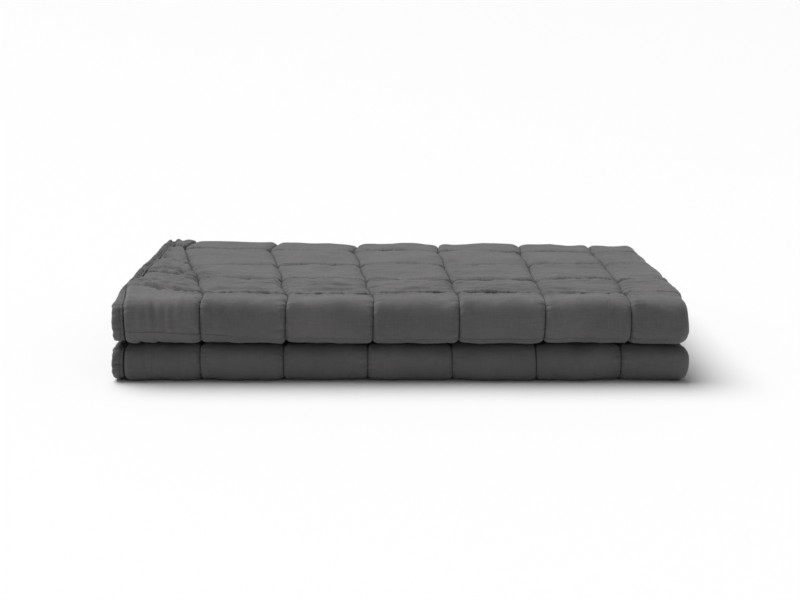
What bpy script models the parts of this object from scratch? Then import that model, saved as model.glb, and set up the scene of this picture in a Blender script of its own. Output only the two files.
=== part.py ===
"""A quilted weighted blanket, folded into a flat stack of two thick tiers.

The blanket is doubled across its width, with a soft fold at +X and its open edges at -X.
The doubled blanket is then folded along its length. Both ends turn in at the front, which
makes one closed bend for each tier, and the middle wraps round the back of the stack.
+X is to the right of someone facing the bends, -Y is towards them, and +Z is up.
"""

import math
from collections import namedtuple

import bmesh
import bpy

# The blanket spread flat, in metres
FLAT_WIDTH = 1.524
FLAT_LENGTH = 2.032
COLUMNS = 13
ROWS = 16
BORDER = 0.0145                 # outer edge to the first row of stitching
MIDDLE_POCKET = 0.117           # width of every pocket but the two next to the side edges
EDGE_POCKET = (FLAT_WIDTH - 2 * BORDER - (COLUMNS - 2) * MIDDLE_POCKET) / 2
POCKET_ROW = (FLAT_LENGTH - 2 * BORDER) / ROWS

# The folded stack
STACK_WIDTH = 0.772
STACK_DEPTH = 0.505
LOWER_LAYER = 0.0112            # one thickness of blanket in the lower tier, pressed by the upper
UPPER_LAYER = 0.0152            # and in the upper tier
SLIT = 0.001                    # between the two halves of the doubled blanket
GAP = 0.001                     # between one doubled run and the next
LOWER_SHRINK = 0.972            # gathering across the width, lower tier
UPPER_SHRINK = 0.99             # and upper tier
TUCK = 0.012                    # how far the two hidden ends reach past the back bend's centre

# Pockets and edge
SEAM_HALF = 0.0015              # half the thickness along a seam and in the border
RAW_EDGE = 0.0022               # the quilt stops this far inside the binding's outer edge
CROWN_POWER = 4                 # higher is flatter in the middle of a pocket
SHOULDERS = (0.18, 0.82)        # where a pocket's flat top begins and ends, as shares of its size

# The binding's section: distance in from the outer edge, and height from the sheet's middle
BindingPoint = namedtuple("BindingPoint", "inward height")
BINDING_WIDTH = 0.0132
BINDING_SECTION = (
    BindingPoint(BINDING_WIDTH, 0.0030),
    BindingPoint(0.0035, 0.0040),
    BindingPoint(0.0000, 0.0000),
    BindingPoint(0.0035, -0.0040),
    BindingPoint(BINDING_WIDTH, -0.0030),
    BindingPoint(BINDING_WIDTH, -0.0018),
    BindingPoint(0.0018, -0.0018),
    BindingPoint(0.0018, 0.0018),
    BindingPoint(BINDING_WIDTH, 0.0018),
)

# Mesh lines
FOLD_STEPS = 6                  # across the soft fold at +X
FRONT_STEPS = 6                 # round each front bend
BACK_STEPS = 8                  # round the back bend
LEAST_SPACING = 0.005           # closer mesh lines are merged

# Heights of the four doubled runs, from the surface the stack stands on
LOWER_PAIR = 2 * LOWER_LAYER + SLIT
UPPER_PAIR = 2 * UPPER_LAYER + SLIT
BOTTOM_RUN = LOWER_PAIR / 2
INNER_LOWER_RUN = BOTTOM_RUN + LOWER_PAIR + GAP
INNER_UPPER_RUN = INNER_LOWER_RUN + (LOWER_PAIR + UPPER_PAIR) / 2 + GAP
TOP_RUN = INNER_UPPER_RUN + UPPER_PAIR + GAP

# Bend radii of the doubled blanket's middle, and where the bends are centred
LOWER_BEND = (INNER_LOWER_RUN - BOTTOM_RUN) / 2
UPPER_BEND = (TOP_RUN - INNER_UPPER_RUN) / 2
BACK_BEND = (TOP_RUN - BOTTOM_RUN) / 2
LOWER_FRONT = -STACK_DEPTH / 2 + LOWER_BEND + LOWER_PAIR / 2
UPPER_FRONT = -STACK_DEPTH / 2 + UPPER_BEND + UPPER_PAIR / 2
BACK = STACK_DEPTH / 2 - BACK_BEND - (LOWER_PAIR + UPPER_PAIR) / 4
HIDDEN_END = BACK + TUCK

# One row for each run or bend, from the hidden end in the lower tier to the one in the upper.
# The facing angle is the way the outer side looks: 90 up, 180 to the front, 270 down, 360 back.
# tier is 0 in the lower tier and 1 in the upper.
Section = namedtuple("Section", "y_from y_to z radius facing_from facing_to tier_from tier_to hidden")
SECTIONS = (
    Section(HIDDEN_END, LOWER_FRONT, INNER_LOWER_RUN, 0, 90, 90, 0, 0, True),
    Section(LOWER_FRONT, LOWER_FRONT, BOTTOM_RUN + LOWER_BEND, LOWER_BEND, 90, 270, 0, 0, False),
    Section(LOWER_FRONT, BACK, BOTTOM_RUN, 0, 270, 270, 0, 0, False),
    Section(BACK, BACK, BOTTOM_RUN + BACK_BEND, BACK_BEND, 270, 450, 0, 1, False),
    Section(BACK, UPPER_FRONT, TOP_RUN, 0, 450, 450, 1, 1, False),
    Section(UPPER_FRONT, UPPER_FRONT, INNER_UPPER_RUN + UPPER_BEND, UPPER_BEND, 450, 630, 1, 1, False),
    Section(UPPER_FRONT, HIDDEN_END, INNER_UPPER_RUN, 0, 630, 630, 1, 1, True),
)
LOWER_FRONT_BEND, BOTTOM, MIDDLE_BEND, TOP, UPPER_FRONT_BEND = range(1, 6)


def mix(a, b, share):
    return a + (b - a) * share


def layer_at(tier):
    """Thickness of one layer."""
    return mix(LOWER_LAYER, UPPER_LAYER, tier)


def offset_at(tier):
    """From the doubled blanket's middle to the middle of either of its two sheets."""
    return (layer_at(tier) + SLIT) / 2


def section_length(section):
    """Length of the outer sheet along one run or bend."""
    offset = offset_at((section.tier_from + section.tier_to) / 2)
    turn = math.radians(section.facing_to - section.facing_from)
    return abs(section.y_to - section.y_from) + turn * (section.radius + offset if turn else 0)


LENGTHS = [section_length(section) for section in SECTIONS]


def section_start(index):
    """Distance along the flat blanket at which a run or bend starts."""
    return sum(LENGTHS[:index]) * FLAT_LENGTH / sum(LENGTHS)


def find_section(along):
    """The run or bend at a distance along the flat blanket, and the share of it that is passed."""
    index = 0
    while index < len(SECTIONS) - 1 and along > section_start(index + 1):
        index += 1
    start = section_start(index)
    return index, (along - start) / (section_start(index + 1) - start)


def bend_lines(index, steps):
    """Mesh lines round a bend, both of its ends included."""
    start = section_start(index)
    end = section_start(index + 1)
    return [mix(start, end, step / steps) for step in range(steps + 1)]


def fold_start(tier):
    """Distance across the flat blanket at which the soft fold at +X starts, and the fold's X."""
    fold_x = STACK_WIDTH / 2 - layer_at(tier) - SLIT / 2
    shrink = mix(LOWER_SHRINK, UPPER_SHRINK, tier)
    return (fold_x + STACK_WIDTH / 2) / shrink, fold_x, shrink


def place(across, along, height):
    """The folded place of a point on the flat blanket, at a height above the sheet's middle."""
    index, share = find_section(along)
    section = SECTIONS[index]
    tier = mix(section.tier_from, section.tier_to, share)
    offset = offset_at(tier)
    start, fold_x, shrink = fold_start(tier)
    end = start + math.pi * offset
    if across < start:
        turn = math.pi / 2
        x = fold_x - (start - across) * shrink
    elif across > end:
        turn = -math.pi / 2
        x = fold_x - (across - end) * shrink
    else:
        turn = math.pi / 2 - (across - start) / offset
        x = fold_x
    out = (offset + height) * math.sin(turn)
    x += (offset + height) * math.cos(turn)
    facing = math.radians(mix(section.facing_from, section.facing_to, share))
    y = mix(section.y_from, section.y_to, share) + (section.radius + out) * math.cos(facing)
    z = section.z + (section.radius + out) * math.sin(facing)
    return x, y, z


def seam_across(column):
    """Distance across the flat blanket of the seam before a column of pockets."""
    if column == 0:
        return BORDER
    if column == COLUMNS:
        return FLAT_WIDTH - BORDER
    return BORDER + EDGE_POCKET + (column - 1) * MIDDLE_POCKET


def seam_along(row):
    return BORDER + row * POCKET_ROW


def crown(share):
    """Fullness of a pocket from one seam, 0, to the next, 1."""
    return math.sqrt(max(0.0, 1 - abs(2 * share - 1) ** CROWN_POWER))


def crown_across(across):
    for column in range(COLUMNS):
        start = seam_across(column)
        end = seam_across(column + 1)
        if start <= across <= end:
            return crown((across - start) / (end - start))
    return 0.0


def crown_along(along):
    """Pockets between the tiers and at the hidden ends are pressed into one even layer."""
    distance = along - BORDER
    if distance <= 1e-6 or distance >= ROWS * POCKET_ROW - 1e-6:
        return 0.0
    index, _ = find_section(along)
    if SECTIONS[index].hidden:
        return 1.0
    return crown(distance / POCKET_ROW % 1)


def half_thickness(across, along, outer):
    """Half the sheet's thickness: thin along seams and border, and flat where it rests."""
    index, share = find_section(along)
    section = SECTIONS[index]
    half_layer = layer_at(mix(section.tier_from, section.tier_to, share)) / 2
    if outer and index == BOTTOM and BORDER < across < fold_start(0)[0]:
        return half_layer
    return mix(SEAM_HALF, half_layer, crown_across(across) * crown_along(along))


def merge_lines(fixed, loose):
    """All fixed mesh lines, and the loose ones that are not too close to one."""
    kept = [line for line in loose if min(abs(line - other) for other in fixed) > LEAST_SPACING]
    return sorted(fixed + kept)


def lines_along():
    """Mesh lines along the length: seams, the pockets of the two runs that show, and the bends."""
    seams = [RAW_EDGE] + [seam_along(row) for row in range(ROWS + 1)] + [FLAT_LENGTH - RAW_EDGE]
    shoulders = [seam_along(row + share) for row in range(ROWS) for share in SHOULDERS]
    shoulders = [line for line in shoulders if find_section(line)[0] in (BOTTOM, TOP)]
    bends = bend_lines(LOWER_FRONT_BEND, FRONT_STEPS)
    bends += bend_lines(MIDDLE_BEND, BACK_STEPS)
    bends += bend_lines(UPPER_FRONT_BEND, FRONT_STEPS)
    return merge_lines(merge_lines(seams, shoulders), bends)


def lines_across(along):
    """Mesh lines across the width. Those of the soft fold follow it, as it is not quite square."""
    index, share = find_section(along)
    section = SECTIONS[index]
    tier = mix(section.tier_from, section.tier_to, share)
    start = fold_start(tier)[0]
    end = start + math.pi * offset_at(tier)
    fold_column = COLUMNS // 2
    lines = [RAW_EDGE, seam_across(0)]
    for column in range(fold_column):
        for share in (*SHOULDERS, 1):
            lines.append(mix(seam_across(column), seam_across(column + 1), share))
    lines.append(mix(seam_across(fold_column), seam_across(fold_column + 1), SHOULDERS[0]))
    lines += [mix(start, end, step / FOLD_STEPS) for step in range(FOLD_STEPS + 1)]
    for column in range(fold_column + 1, COLUMNS):
        lines.append(seam_across(column))
        lines.append(mix(seam_across(column), seam_across(column + 1), 0.5))
    return lines + [seam_across(COLUMNS), FLAT_WIDTH - RAW_EDGE]


def cloth(name, colour, roughness):
    material = bpy.data.materials.new(name)
    material.use_nodes = True
    shader = material.node_tree.nodes["Principled BSDF"]
    shader.inputs["Base Color"].default_value = (*colour, 1)
    shader.inputs["Roughness"].default_value = roughness
    shader.inputs["Metallic"].default_value = 0
    return material


def shell_cloth():
    return cloth("charcoal_shell", (0.105, 0.100, 0.101), 0.85)


def binding_cloth():
    return cloth("charcoal_binding", (0.088, 0.084, 0.085), 0.88)


def face_outwards(bm):
    bmesh.ops.recalc_face_normals(bm, faces=bm.faces)
    if bm.calc_volume(signed=True) < 0:
        bmesh.ops.reverse_faces(bm, faces=bm.faces)


def make_object(name, mesh, material, parts):
    mesh.materials.append(material)
    mesh.shade_smooth()
    blanket_piece = bpy.data.objects.new(name, mesh)
    parts.objects.link(blanket_piece)
    return blanket_piece


def make_quilt(parts):
    """The filled, pocketed body of the blanket: a flat grid, thickened, then folded point by point."""
    along_lines = lines_along()
    across_count = len(lines_across(0)) - 1
    along_count = len(along_lines) - 1
    bm = bmesh.new()
    bmesh.ops.create_grid(bm, x_segments=across_count, y_segments=along_count, size=0.5)
    top = bmesh.ops.extrude_face_region(bm, geom=bm.faces[:])["geom"]
    bmesh.ops.translate(bm, vec=(0, 0, 1), verts=[v for v in top if isinstance(v, bmesh.types.BMVert)])
    for vertex in bm.verts:
        along = along_lines[round((vertex.co.y + 0.5) * along_count)]
        across = lines_across(along)[round((vertex.co.x + 0.5) * across_count)]
        outer = vertex.co.z > 0.5
        half = half_thickness(across, along, outer)
        vertex.co = place(across, along, half if outer else -half)
    face_outwards(bm)
    mesh = bpy.data.meshes.new("quilt")
    bm.to_mesh(mesh)
    bm.free()
    make_object("quilt", mesh, shell_cloth(), parts)


def edge_stations():
    """Places round the blanket's edge, and which way is inward. The four corners are mitred."""
    along_lines = [line for line in lines_along() if BORDER < line < FLAT_LENGTH - BORDER]
    sides = [(0, line, 1, 0) for line in along_lines]
    sides.append((0, FLAT_LENGTH, 1, -1))
    inner_across = lines_across(FLAT_LENGTH)[2:-2]
    sides += [(line, FLAT_LENGTH, 0, -1) for line in inner_across]
    sides.append((FLAT_WIDTH, FLAT_LENGTH, -1, -1))
    sides += [(FLAT_WIDTH, line, -1, 0) for line in reversed(along_lines)]
    sides.append((FLAT_WIDTH, 0, -1, 1))
    sides += [(line, 0, 0, 1) for line in reversed(lines_across(0)[2:-2])]
    sides.append((0, 0, 1, 1))
    return sides


def make_binding(parts):
    """The folded strip sewn over the raw edge: a closed ring whose section grips the quilt."""
    stations = edge_stations()
    bpy.ops.mesh.primitive_torus_add(major_segments=len(stations), minor_segments=len(BINDING_SECTION))
    ring = bpy.context.object
    mesh = ring.data
    for number, vertex in enumerate(mesh.vertices):
        across, along, inward_across, inward_along = stations[number // len(BINDING_SECTION)]
        point = BINDING_SECTION[number % len(BINDING_SECTION)]
        vertex.co = place(
            across + inward_across * point.inward,
            along + inward_along * point.inward,
            point.height,
        )
    bm = bmesh.new()
    bm.from_mesh(mesh)
    face_outwards(bm)
    bm.to_mesh(mesh)
    bm.free()
    mesh.name = "edge_binding"
    bpy.data.objects.remove(ring)
    make_object("edge_binding", mesh, binding_cloth(), parts)


def main():
    for leftover in list(bpy.data.objects):
        bpy.data.objects.remove(leftover)
    parts = bpy.data.collections.new("weighted_blanket")
    bpy.context.scene.collection.children.link(parts)
    make_quilt(parts)
    make_binding(parts)


main()
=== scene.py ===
import math

import bmesh
import bpy
import numpy as np
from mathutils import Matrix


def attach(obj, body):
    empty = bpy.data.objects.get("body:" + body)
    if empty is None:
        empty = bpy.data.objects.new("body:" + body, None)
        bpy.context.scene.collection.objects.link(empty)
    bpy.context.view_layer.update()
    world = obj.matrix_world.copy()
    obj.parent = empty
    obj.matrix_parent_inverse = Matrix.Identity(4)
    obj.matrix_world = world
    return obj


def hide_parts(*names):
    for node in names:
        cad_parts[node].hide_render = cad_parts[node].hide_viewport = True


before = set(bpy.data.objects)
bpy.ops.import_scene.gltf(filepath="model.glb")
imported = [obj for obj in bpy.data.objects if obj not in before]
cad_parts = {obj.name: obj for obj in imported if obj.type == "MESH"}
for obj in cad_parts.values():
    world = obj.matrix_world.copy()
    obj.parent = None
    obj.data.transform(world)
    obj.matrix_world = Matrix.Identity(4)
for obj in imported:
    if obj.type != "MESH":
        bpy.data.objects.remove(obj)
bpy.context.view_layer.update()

# the blanket spread flat, in metres
blanket = {
    "width": 1.524,
    "length": 2.032,
    "columns": 13,
    "rows": 16,
    "border": 0.0145,  # outer edge to the first stitching
    "middlePocket": 0.117,  # width of all pockets but the two next to the side edges
}

# how it lies folded
fold = {
    "stackWidth": 0.772,
    "stackDepth": 0.505,
    "lowerLayer": 0.0112,  # one thickness in the lower tier
    "upperLayer": 0.0152,  # and in the upper tier
    "slit": 0.001,  # between the halves of the doubled blanket
    "gap": 0.001,  # between one doubled run and the next
    "lowerShrink": 0.972,  # gathering across the width
    "upperShrink": 0.99,
    "tuck": 0.012,  # hidden ends reach this far past the back bend's centre
    "frontSquareness": 2.5,  # 2 is a round bend, more is boxier
    "backSquareness": 2.25,
}

# how the pockets swell and pucker
pockets = {
    "seamHalf": 0.0013,  # half thickness along a seam
    "edgeRadius": 0.0080,  # the face rounds down to the seam within this
    "topAcrossRadius": 0.012,  # on the top of the stack the pockets lie slacker
    "topAlongRadius": 0.0155,
    "cornerShare": 1.25,  # rounder where two seams cross
    "topCornerShare": 0.95,
    "pillow": 0.08,  # the middle of a pocket stands this much prouder
    "topPillow": 0.30,  # and more on the top
    "leftPillow": 0.25,  # and more still beside the bound end
    "leftZone": (0.08, 0.15),
    "fullness": 0.05,  # how much one pocket differs from the next
    "fullnessPitch": (1 / 0.37, 1 / 0.41),  # in pockets
    "fullest": 1.06,
    "shapesFrom": 1.6,  # the small shapes start this steeply beside a seam
    "thinnest": 0.8,  # share of seamHalf
    "dent": 0.0010,  # broad dips in a pocket's face
    "pucker": 0.0013,  # short folds that start at the stitching
    "puckerReach": 0.017,
    "crumple": 0.0016,  # sharp little ridges, on the top of the stack
    "crumpleLeft": 1.1,  # that much more towards the bound end
    "crumpleFront": 0.0005,  # and on its front
    "rumpledRow": {8: 0.25, 9: 0.35, 10: 0.75},  # share of that, smoother towards the back
    "creasesEach": 3,
    "creaseDepth": 0.0011,
    "creaseWidth": 0.0032,
    "seamWander": 0.0016,  # seams are not quite straight
    "wanderPitch": (0.35, 0.14),
    "wanderFrom": (0.02, 0.08),
    "wanderTo": (1.44, 1.50),
    "seed": 41,
}

# the quilt's mesh
quiltMesh = {
    "besideSeam": (0.0006, 0.0014, 0.0024, 0.0038, 0.0058, 0.0085),  # lines close to each seam
    "openStep": 0.0055,  # and between them
    "leftStep": 0.0032,  # in the pockets next to the bound end, which are rumpled
    "topStep": 0.0036,  # in the two rows behind the front one
    "frontStep": 0.0028,  # and in the front row
    "pressedStep": 0.0009,  # over the pressed line
    "foldStep": 0.0021,  # round the soft fold at the right
    "underStep": 0.021,  # on the bottom
    "hiddenStep": 0.032,  # between the layers
    "rowSteps": {10: "topStep", 11: "topStep", 12: "frontStep"},
    "foldFrom": -0.012,  # the soft fold's lines, from the middle of the width
    "foldTo": 0.05,
    "pressedAround": 0.004,  # the pressed line's lines reach this far past it
    "closest": 0.0008,
    "innerEvery": 3,  # the lining side keeps every third line
    "rawEdge": 0.0022,
    "hem": 0.0085,
}

# the stitching behind the front row has been drawn back all along the stack
frontPull = {
    "along": 1.517,
    "reach": 0.085,
    "amount": 0.030,
    "frontFrom": 1.517,  # the pulls below fade out down the front between these
    "frontTo": 1.582,
}

# and here and there handling has drawn the quilt along on the top
pulls = (
    # across, along, reach across, reach along, towards the back
    (0.010, 1.500, 0.040, 0.080, 0.038),
    (0.060, 1.500, 0.070, 0.080, 0.018),
    (0.010, 1.392, 0.060, 0.090, 0.048),
    (0.120, 1.392, 0.070, 0.090, 0.018),
    (0.010, 1.266, 0.060, 0.080, 0.034),
    (0.118, 1.266, 0.055, 0.095, -0.014),
    (0.118, 1.141, 0.060, 0.080, 0.006),
    (0.760, 1.266, 0.080, 0.080, 0.012),
)

# the top is also drawn sideways to the bound end, so its first column of pockets is gathered up
sideways = {
    "columns": ((0.018, 0.0), (0.1185, 1.0), (0.2355, 0.72), (0.5865, 0.0)),  # across, share
    "rows": ((0.93, 0.0), (1.05, 0.062), (1.141, 0.080), (1.266, 0.048), (1.392, 0.026),
             (1.470, 0.016), (1.540, 0.0)),  # along, how far
}

# at the front left corner the bound edge rolls over the end of the stack
edgeRoll = {
    "from": 0.0185,  # the strip outside this turns down
    "hangFade": (-0.002, 0.008),
    "hang": ((1.440, 0.0), (1.455, 7.0), (1.468, 14.0), (1.480, 22.0), (1.490, 29.0), (1.500, 37.0),
             (1.517, 33.0), (1.535, 26.0), (1.545, 21.0), (1.555, 14.0), (1.570, 6.0),
             (1.590, 0.0)),  # along, degrees
    "spread": ((0.93, 0.0), (1.05, -0.004), (1.15, -0.001), (1.20, 0.001), (1.30, 0.0045),
               (1.44, 0.0055), (1.500, 0.0156), (1.517, 0.0122), (1.526, 0.0102), (1.535, 0.0075),
               (1.545, 0.0040), (1.555, 0.0015), (1.567, -0.001), (1.580, -0.001),
               (1.600, 0.0)),  # along, how far out the end reaches
    "spreadTo": 0.11,  # across, where the spread has died away
    "rearLift": ((1.00, 0.0), (1.08, 0.0040), (1.20, 0.003), (1.33, 0.0)),  # along, height
    "liftFade": (0.018, 0.040),
}

# seams that sink deeper where the top is slack
dips = (
    # across, along, reach across, reach along, depth
    (0.060, 1.266, 0.080, 0.030, 0.0048),
    (0.060, 1.392, 0.080, 0.030, 0.0042),
    (0.060, 1.517, 0.090, 0.020, 0.0022),
    (0.060, 1.141, 0.080, 0.030, 0.0012),
    (0.1185, 1.220, 0.020, 0.080, 0.0022),
    (0.740, 1.266, 0.100, 0.025, 0.0032),
    (0.740, 1.392, 0.100, 0.025, 0.0032),
    (0.740, 1.517, 0.100, 0.020, 0.0024),
    (0.400, 1.392, 0.300, 0.025, 0.0016),
    (0.400, 1.266, 0.300, 0.025, 0.0016),
)
deepestDip = 0.0065
dipFade = (-0.002, 0.008)  # the dips die away at the border's stitching

# where the whole stack sags or stands proud; the zones are shares of its half width or half depth
settle = {
    "rearLeft": 0.050,  # share of the height added at the rear left corner
    "rearRight": -0.04,
    "rearZone": (-0.2, 1.0),
    "rearLeftZone": (0.2, 1),
    "rearRightZone": (0.1, 1),
    "ripple": 0.010,
    "ripplePitch": (0.21, 0.17),
    "frontWave": 0.0016,
    "frontZone": (0.72, 1.0),
    "frontPitch": (0.16, 0.09),
    "endWave": 0.0006,
    "endZone": (0.8, 1.0),
    "endPitch": (0.11, 0.05),
    "leftOut": 0.0032,  # the ends spread a little, most at the front
    "leftZone": (0.955, 1.0),
    "rightOut": 0.0034,
    "rightZone": (0.86, 1.0),
    "spreadZone": (-0.6, 0.7),
}

# where the cloth turns over, the filling hides the seams: 1 hides them all
ease = {
    "softFold": 0.93,
    "softFoldZone": (0.690, 0.748),  # across
    "back": 0.45,
    "backMiddle": 0.62,  # share of the back bend
    "backReach": 0.48,
    "backSharpness": 4,
    "leftEnd": 0.25,
    "leftEndZone": (0.016, 0.035),
    "evening": 1.4,  # how soon the pockets' crowns even out too
}


def mix(a, b, share):
    return a + (b - a) * share


def smooth(value, low, high):
    t = np.clip((value - low) / (high - low), 0, 1)
    return t * t * (3 - 2 * t)


def foldSections():
    lowerPair = 2 * fold["lowerLayer"] + fold["slit"]
    upperPair = 2 * fold["upperLayer"] + fold["slit"]
    bottom = lowerPair / 2
    innerLower = bottom + lowerPair + fold["gap"]
    innerUpper = innerLower + (lowerPair + upperPair) / 2 + fold["gap"]
    top = innerUpper + upperPair + fold["gap"]
    lowerBend = (innerLower - bottom) / 2
    upperBend = (top - innerUpper) / 2
    backBend = (top - bottom) / 2
    lowerFront = -fold["stackDepth"] / 2 + lowerBend + lowerPair / 2
    upperFront = -fold["stackDepth"] / 2 + upperBend + upperPair / 2
    back = fold["stackDepth"] / 2 - backBend - (lowerPair + upperPair) / 4
    hiddenEnd = back + fold["tuck"]
    # y from, y to, height, bend radius, facing from, facing to, tier from, tier to
    return np.array([
        [hiddenEnd, lowerFront, innerLower, 0, 90, 90, 0, 0],
        [lowerFront, lowerFront, bottom + lowerBend, lowerBend, 90, 270, 0, 0],
        [lowerFront, back, bottom, 0, 270, 270, 0, 0],
        [back, back, bottom + backBend, backBend, 270, 450, 0, 1],
        [back, upperFront, top, 0, 450, 450, 1, 1],
        [upperFront, upperFront, innerUpper + upperBend, upperBend, 450, 630, 1, 1],
        [upperFront, hiddenEnd, innerUpper, 0, 630, 630, 1, 1],
    ])


sections = foldSections()
backBend = 3  # the section that wraps the back


def layerAt(tier):
    return mix(fold["lowerLayer"], fold["upperLayer"], tier)


def offsetAt(tier):
    return (layerAt(tier) + fold["slit"]) / 2


def sectionStarts():
    yFrom, yTo, _, radius, facingFrom, facingTo, tierFrom, tierTo = sections.T
    turn = np.radians(facingTo - facingFrom)
    lengths = np.abs(yTo - yFrom) + turn * (radius + offsetAt((tierFrom + tierTo) / 2))
    ends = np.cumsum(lengths) / lengths.sum() * blanket["length"]
    return np.concatenate([[0], ends])


starts = sectionStarts()


def whereAlong(along):
    index = np.clip(np.searchsorted(starts, along, side="right") - 1, 0, len(sections) - 1)
    share = (along - starts[index]) / (starts[index + 1] - starts[index])
    tier = mix(sections[index, -2], sections[index, -1], share)
    return index, share, tier


# soft unevenness: plane waves that run every way, about one to each pitch
waveMix = {"count": 7, "slowest": 0.65, "fastest": 1.6, "level": 3.2}


def waves(seed, a, b, pitchA, pitchB):
    rng = np.random.default_rng(seed)
    axes = (a / pitchA, b / pitchB)
    total = 0
    for _ in range(waveMix["count"]):
        direction = rng.normal(size=len(axes))
        direction /= np.linalg.norm(direction)
        speed = rng.uniform(waveMix["slowest"], waveMix["fastest"])
        phase = sum(d * a for d, a in zip(direction, axes)) * speed * 2 * math.pi
        total = total + np.sin(phase + rng.uniform(0, 2 * math.pi))
    return total / waveMix["level"]


def awayFrom(value, middle, reach):
    return ((value - middle) / reach) ** 2


def sumOf(spots, across, along):
    total = 0
    for centreAcross, centreAlong, reachAcross, reachAlong, size in spots:
        away = awayFrom(across, centreAcross, reachAcross) + awayFrom(along, centreAlong, reachAlong)
        total = total + size * np.exp(-away)
    return total


def drag(across, along):
    # how far towards the back the cloth is drawn
    total = sumOf(pulls, across, along) * (1 - smooth(along, frontPull["frontFrom"], frontPull["frontTo"]))
    return total + frontPull["amount"] * np.exp(-awayFrom(along, frontPull["along"], frontPull["reach"]))


def table(value, rows):
    return np.interp(value, [row[0] for row in rows], [row[1] for row in rows])


def drawnSideways(across, along):
    return table(across, sideways["columns"]) * table(along, sideways["rows"])


def rolledEdge(across, along):
    # how far out the cloth moves, and how far it sinks
    out = table(along, edgeRoll["spread"]) * (1 - smooth(across, edgeRoll["from"], edgeRoll["spreadTo"]))
    beyond = np.clip(edgeRoll["from"] - across, 0, None)
    angle = np.radians(table(along, edgeRoll["hang"])) * smooth(beyond, *edgeRoll["hangFade"])
    lift = table(along, edgeRoll["rearLift"]) * (1 - smooth(across, *edgeRoll["liftFade"]))
    return out - beyond * (1 - np.cos(angle)), beyond * np.sin(angle) - lift


def dipAt(across, along):
    depth = np.minimum(sumOf(dips, across, along), deepestDip)
    return depth * smooth(across - blanket["border"], *dipFade)


def place(across, along, height):
    flatAcross, flatAlong = across, along
    across = across - drawnSideways(across, along)
    along = along - drag(flatAcross, flatAlong)
    index, share, tier = whereAlong(along)
    yFrom, yTo, level, radius, facingFrom, facingTo = np.moveaxis(sections[index], -1, 0)[:6]
    offset = offsetAt(tier)
    # the soft fold at the right: x runs out to it, round half a turn, and back
    foldX = fold["stackWidth"] / 2 - layerAt(tier) - fold["slit"] / 2
    shrink = mix(fold["lowerShrink"], fold["upperShrink"], tier)
    start = (foldX + fold["stackWidth"] / 2) / shrink
    end = start + math.pi * offset
    inFold = np.clip((across - start) / (end - start), 0, 1)
    turn = math.pi / 2 - inFold * math.pi
    x = foldX - np.maximum(start - across, 0) * shrink - np.maximum(across - end, 0) * shrink
    out = (offset + height) * np.sin(turn)
    rollOut, rollDown = rolledEdge(flatAcross, flatAlong)
    x = x + (offset + height) * np.cos(turn) - rollOut
    out = out - rollDown
    # and the section along the stack
    facing = np.radians(mix(facingFrom, facingTo, share))
    cosine, sine = np.cos(facing), np.sin(facing)
    squareness = np.where(index == backBend, fold["backSquareness"], fold["frontSquareness"])
    boxy = (np.abs(cosine) ** squareness + np.abs(sine) ** squareness) ** (-1 / squareness)
    y = mix(yFrom, yTo, share) + (radius + out) * cosine * boxy
    z = level + (radius + out) * sine * boxy
    return settled(x, y, z)


def settled(x, y, z):
    u = x / fold["stackWidth"] * 2
    v = y / fold["stackDepth"] * 2
    rearLeft = settle["rearLeft"] * smooth(-u, *settle["rearLeftZone"])
    rearRight = settle["rearRight"] * smooth(u, *settle["rearRightZone"])
    lift = (rearLeft + rearRight) * smooth(v, *settle["rearZone"])
    lift = lift + settle["ripple"] * waves(5, x, y, *settle["ripplePitch"])
    front, ends = smooth(-v, *settle["frontZone"]), smooth(np.abs(u), *settle["endZone"])
    y = y + front * settle["frontWave"] * waves(11, x, z, *settle["frontPitch"])
    x = x + ends * settle["endWave"] * waves(17, y, z, *settle["endPitch"])
    frontHalf = 1 - smooth(v, *settle["spreadZone"])
    x = x + settle["rightOut"] * smooth(u, *settle["rightZone"]) * frontHalf
    x = x - settle["leftOut"] * smooth(-u, *settle["leftZone"]) * frontHalf
    return np.stack([x, y, z * (1 + lift)], axis=-1)


def seamsAcross():
    middle = blanket["border"] + (blanket["width"] - 2 * blanket["border"]
                                  - (blanket["columns"] - 2) * blanket["middlePocket"]) / 2
    inner = [middle + column * blanket["middlePocket"] for column in range(blanket["columns"] - 1)]
    return np.array([blanket["border"], *inner, blanket["width"] - blanket["border"]])


def seamsAlong():
    return np.linspace(blanket["border"], blanket["length"] - blanket["border"], blanket["rows"] + 1)


acrossSeams = seamsAcross()
alongSeams = seamsAlong()
hiddenRows = (0, 1, 2, 13, 14, 15)
underRows = (4, 5, 6)
topRows = (8, 9, 10, 11)
shownRows = range(3, 13)
shownColumns = range(blanket["columns"] // 2 + 1)


def evenLines(start, end, step):
    count = max(1, math.ceil((end - start) / step))
    return list(np.linspace(start, end, count + 1)[1:])


def shownLines(start, end, step):
    # crowded beside both seams, even between them
    beside = quiltMesh["besideSeam"]
    near = [start + offset for offset in beside]
    far = [end - offset for offset in reversed(beside)]
    return near + evenLines(near[-1], far[0], quiltMesh[step]) + far[1:] + [end]


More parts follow.
